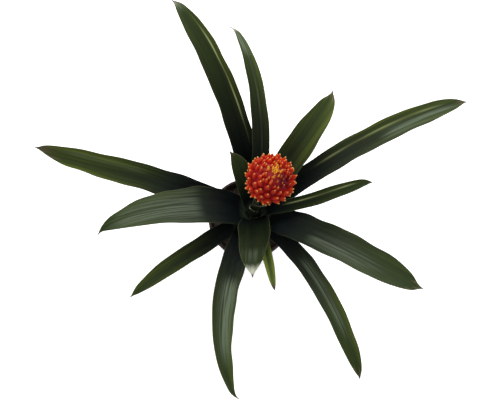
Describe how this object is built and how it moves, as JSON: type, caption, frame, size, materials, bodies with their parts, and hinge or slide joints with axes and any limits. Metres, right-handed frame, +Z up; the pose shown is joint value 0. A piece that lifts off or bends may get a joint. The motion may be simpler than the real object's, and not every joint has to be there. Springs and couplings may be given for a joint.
{
  "type": "potted guzmania plant",
  "caption": "Bromeliad in a tapered nursery pot: a rosette of dark green strap leaves that arch outwards, and one round red flower head with pale tips on a leaning stalk.",
  "frame": {"origin": "middle of the pot's underside, on the surface that it stands on", "axes": "+Z up along the pot's axis, -Y towards the side that the picture is taken from, +X to the right in the picture"},
  "size_m": [0.5937, 0.5495, 0.3162],
  "materials": {
    "pot": "satin",
    "soil": "matte",
    "stem": "satin",
    "bract": "satin",
    "leaf": "satin"
  },
  "bodies": {
    "root": {"pot": "pot", "soil": "soil", "stem": "stem", "flower_head": "bract", "leaf_right_small": "leaf", "leaf_back_inner": "leaf", "leaf_front_inner": "leaf", "leaf_back_right": "leaf", "leaf_left_wide": "leaf", "leaf_front_right_wide": "leaf", "leaf_back": "leaf", "leaf_back_left_long": "leaf", "leaf_front_long": "leaf", "leaf_right_long": "leaf", "leaf_left_long": "leaf", "leaf_front_right_long": "leaf", "leaf_front_left": "leaf", "leaf_front_narrow": "leaf"}
  },
  "joints": []
}
